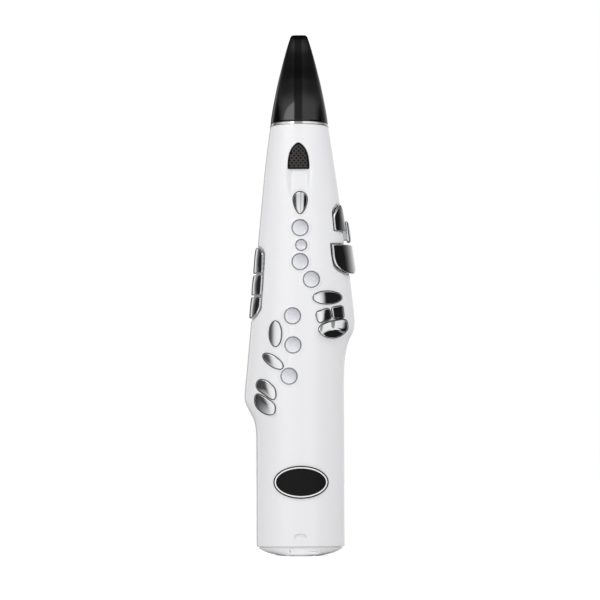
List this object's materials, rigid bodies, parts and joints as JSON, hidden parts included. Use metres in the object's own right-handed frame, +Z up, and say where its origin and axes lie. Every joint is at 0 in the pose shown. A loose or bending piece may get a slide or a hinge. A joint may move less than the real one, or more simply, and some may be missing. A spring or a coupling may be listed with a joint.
{
  "type": "digital wind controller",
  "caption": "Upright electronic wind instrument with a beaked mouthpiece, sprung pearl and chrome keys, a thumb hook and strap loop, and a domed end cap.",
  "frame": {"origin": "middle of the flat foot under the end cap, where the instrument stands", "axes": "+Z up the instrument to the mouthpiece, -Y towards the main keys, +Y towards the player, +X to the viewer's right from the front"},
  "size_m": [0.1113, 0.1119, 0.5213],
  "materials": {
    "shell_white": "glossy moulded white",
    "cap_white": "satin white",
    "pearl": "pearl",
    "key_chrome": "polished",
    "trim_chrome": "polished",
    "mouthpiece_black": "high gloss",
    "satin_black": "satin",
    "grille_black": "semi matt",
    "rubber_black": "matt",
    "display_glass": "smoked",
    "steel": "plain",
    "board_green": "solder mask",
    "switch_black": "moulded",
    "cell_blue": "shrink wrap",
    "tube_clear": "clear silicone"
  },
  "bodies": {
    "body": {"front_shell": "shell_white", "rear_shell": "shell_white", "bottom_cap": "cap_white", "collar_ring": "trim_chrome", "neck_plug": "satin_black", "breath_grille": "grille_black", "badge_plate": "satin_black", "key_board": "board_green", "main_board": "board_green", "palm_key_switches": "switch_black", "side_key_switches": "switch_black", "battery_pack": "cell_blue", "breath_sensor": "switch_black", "air_tube": "tube_clear", "control_panel": "satin_black", "display_window": "display_glass", "thumb_rest": "rubber_black", "thumb_hook": "satin_black", "strap_loop": "trim_chrome", "usb_socket": "steel", "phone_jack": "steel", "shell_screw_lower": "steel", "shell_screw_left": "steel", "shell_screw_right": "steel", "bezel_b": "trim_chrome", "bezel_bis": "trim_chrome", "bezel_a": "trim_chrome", "bezel_g": "trim_chrome", "bezel_f": "trim_chrome", "bezel_e": "trim_chrome", "bezel_d": "trim_chrome"},
    "key_b": {"key_b": "pearl"},
    "key_bis": {"key_bis": "pearl"},
    "key_a": {"key_a": "pearl"},
    "key_g": {"key_g": "pearl"},
    "key_f": {"key_f": "pearl"},
    "key_e": {"key_e": "pearl"},
    "key_d": {"key_d": "pearl"},
    "key_front_f": {"key_front_f": "key_chrome"},
    "key_g_sharp": {"key_g_sharp": "key_chrome"},
    "key_low_c_sharp": {"key_low_c_sharp": "key_chrome"},
    "key_low_b": {"key_low_b": "key_chrome"},
    "key_low_b_flat": {"key_low_b_flat": "key_chrome"},
    "key_side_f_sharp": {"key_side_f_sharp": "key_chrome"},
    "key_trill": {"key_trill": "key_chrome"},
    "key_e_flat": {"key_e_flat": "key_chrome"},
    "key_low_c": {"key_low_c": "key_chrome"},
    "octave_key_upper": {"octave_key_upper": "key_chrome"},
    "octave_key_lower": {"octave_key_lower": "key_chrome"},
    "palm_key_d": {"palm_key_d": "key_chrome"},
    "palm_key_e_flat": {"palm_key_e_flat": "key_chrome"},
    "palm_key_f": {"palm_key_f": "key_chrome"},
    "side_key_high_e": {"side_key_high_e": "key_chrome"},
    "side_key_c": {"side_key_c": "key_chrome"},
    "side_key_b_flat": {"side_key_b_flat": "key_chrome"},
    "menu_button_left": {"menu_button_left": "rubber_black"},
    "menu_button_right": {"menu_button_right": "rubber_black"},
    "power_slider": {"power_slider": "satin_black"},
    "mouthpiece": {"mouthpiece": "mouthpiece_black"},
    "reed": {"reed": "satin_black"}
  },
  "joints": [
    {"name": "key_b_press", "type": "slide", "parent": "body", "child": "key_b", "axis": [0, 1, 0], "range_m": [0, 0.0015], "stiffness_N_per_m": 200, "springref_m": -0.002},
    {"name": "key_bis_press", "type": "slide", "parent": "body", "child": "key_bis", "axis": [0, 1, 0], "range_m": [0, 0.0015], "stiffness_N_per_m": 200, "springref_m": -0.002},
    {"name": "key_a_press", "type": "slide", "parent": "body", "child": "key_a", "axis": [0, 1, 0], "range_m": [0, 0.0015], "stiffness_N_per_m": 200, "springref_m": -0.002},
    {"name": "key_g_press", "type": "slide", "parent": "body", "child": "key_g", "axis": [0, 1, 0], "range_m": [0, 0.0015], "stiffness_N_per_m": 200, "springref_m": -0.002},
    {"name": "key_f_press", "type": "slide", "parent": "body", "child": "key_f", "axis": [0, 1, 0], "range_m": [0, 0.0015], "stiffness_N_per_m": 200, "springref_m": -0.002},
    {"name": "key_e_press", "type": "slide", "parent": "body", "child": "key_e", "axis": [0, 1, 0], "range_m": [0, 0.0015], "stiffness_N_per_m": 200, "springref_m": -0.002},
    {"name": "key_d_press", "type": "slide", "parent": "body", "child": "key_d", "axis": [0, 1, 0], "range_m": [0, 0.0015], "stiffness_N_per_m": 200, "springref_m": -0.002},
    {"name": "key_front_f_press", "type": "slide", "parent": "body", "child": "key_front_f", "axis": [0, 1, 0], "range_m": [0, 0.0015], "stiffness_N_per_m": 200, "springref_m": -0.002},
    {"name": "key_g_sharp_press", "type": "slide", "parent": "body", "child": "key_g_sharp", "axis": [0, 1, 0], "range_m": [0, 0.0015], "stiffness_N_per_m": 200, "springref_m": -0.002},
    {"name": "key_low_c_sharp_press", "type": "slide", "parent": "body", "child": "key_low_c_sharp", "axis": [0, 1, 0], "range_m": [0, 0.0015], "stiffness_N_per_m": 200, "springref_m": -0.002},
    {"name": "key_low_b_press", "type": "slide", "parent": "body", "child": "key_low_b", "axis": [0, 1, 0], "range_m": [0, 0.0015], "stiffness_N_per_m": 200, "springref_m": -0.002},
    {"name": "key_low_b_flat_press", "type": "slide", "parent": "body", "child": "key_low_b_flat", "axis": [0, 1, 0], "range_m": [0, 0.0015], "stiffness_N_per_m": 200, "springref_m": -0.002},
    {"name": "key_side_f_sharp_press", "type": "slide", "parent": "body", "child": "key_side_f_sharp", "axis": [0, 1, 0], "range_m": [0, 0.0015], "stiffness_N_per_m": 200, "springref_m": -0.002},
    {"name": "key_trill_press", "type": "slide", "parent": "body", "child": "key_trill", "axis": [0, 1, 0], "range_m": [0, 0.0015], "stiffness_N_per_m": 200, "springref_m": -0.002},
    {"name": "key_e_flat_press", "type": "slide", "parent": "body", "child": "key_e_flat", "axis": [0, 1, 0], "range_m": [0, 0.0015], "stiffness_N_per_m": 200, "springref_m": -0.002},
    {"name": "key_low_c_press", "type": "slide", "parent": "body", "child": "key_low_c", "axis": [0, 1, 0], "range_m": [0, 0.0015], "stiffness_N_per_m": 200, "springref_m": -0.002},
    {"name": "octave_key_upper_press", "type": "slide", "parent": "body", "child": "octave_key_upper", "axis": [0, -1, 0], "range_m": [0, 0.0015], "stiffness_N_per_m": 200, "springref_m": -0.002},
    {"name": "octave_key_lower_press", "type": "slide", "parent": "body", "child": "octave_key_lower", "axis": [0, -1, 0], "range_m": [0, 0.0015], "stiffness_N_per_m": 200, "springref_m": -0.002},
    {"name": "palm_key_d_press", "type": "slide", "parent": "body", "child": "palm_key_d", "axis": [-0.858, 0.5137, 0], "range_m": [0, 0.0015], "stiffness_N_per_m": 200, "springref_m": -0.002},
    {"name": "palm_key_e_flat_press", "type": "slide", "parent": "body", "child": "palm_key_e_flat", "axis": [-0.9994, -0.0342, 0], "range_m": [0, 0.0015], "stiffness_N_per_m": 200, "springref_m": -0.002},
    {"name": "palm_key_f_press", "type": "slide", "parent": "body", "child": "palm_key_f", "axis": [-0.883, 0.4693, 0], "range_m": [0, 0.0015], "stiffness_N_per_m": 200, "springref_m": -0.002},
    {"name": "side_key_high_e_press", "type": "slide", "parent": "body", "child": "side_key_high_e", "axis": [0.965, 0.2624, 0], "range_m": [0, 0.0015], "stiffness_N_per_m": 200, "springref_m": -0.002},
    {"name": "side_key_c_press", "type": "slide", "parent": "body", "child": "side_key_c", "axis": [0.9638, 0.2664, 0], "range_m": [0, 0.0015], "stiffness_N_per_m": 200, "springref_m": -0.002},
    {"name": "side_key_b_flat_press", "type": "slide", "parent": "body", "child": "side_key_b_flat", "axis": [0.9624, 0.2718, 0], "range_m": [0, 0.0015], "stiffness_N_per_m": 200, "springref_m": -0.002},
    {"name": "menu_button_left_press", "type": "slide", "parent": "body", "child": "menu_button_left", "axis": [0, -1, 0], "range_m": [0, 0.0008], "stiffness_N_per_m": 300, "springref_m": -0.001},
    {"name": "menu_button_right_press", "type": "slide", "parent": "body", "child": "menu_button_right", "axis": [0, -1, 0], "range_m": [0, 0.0008], "stiffness_N_per_m": 300, "springref_m": -0.001},
    {"name": "power_slider_slide", "type": "slide", "parent": "body", "child": "power_slider", "axis": [1, 0, 0], "range_m": [0, 0.004]},
    {"name": "mouthpiece_pull", "type": "slide", "parent": "body", "child": "mouthpiece", "axis": [0, 0.1668, 0.986], "range_m": [0, 0.03]},
    {"name": "reed_flex", "type": "hinge", "parent": "mouthpiece", "child": "reed", "pos_m": [0, 0.04158, 0.47209], "axis": [1, 0, 0], "range_deg": [0, 0.6], "stiffness_Nm_per_rad": 2, "springref_deg": -0.29}
  ]
}
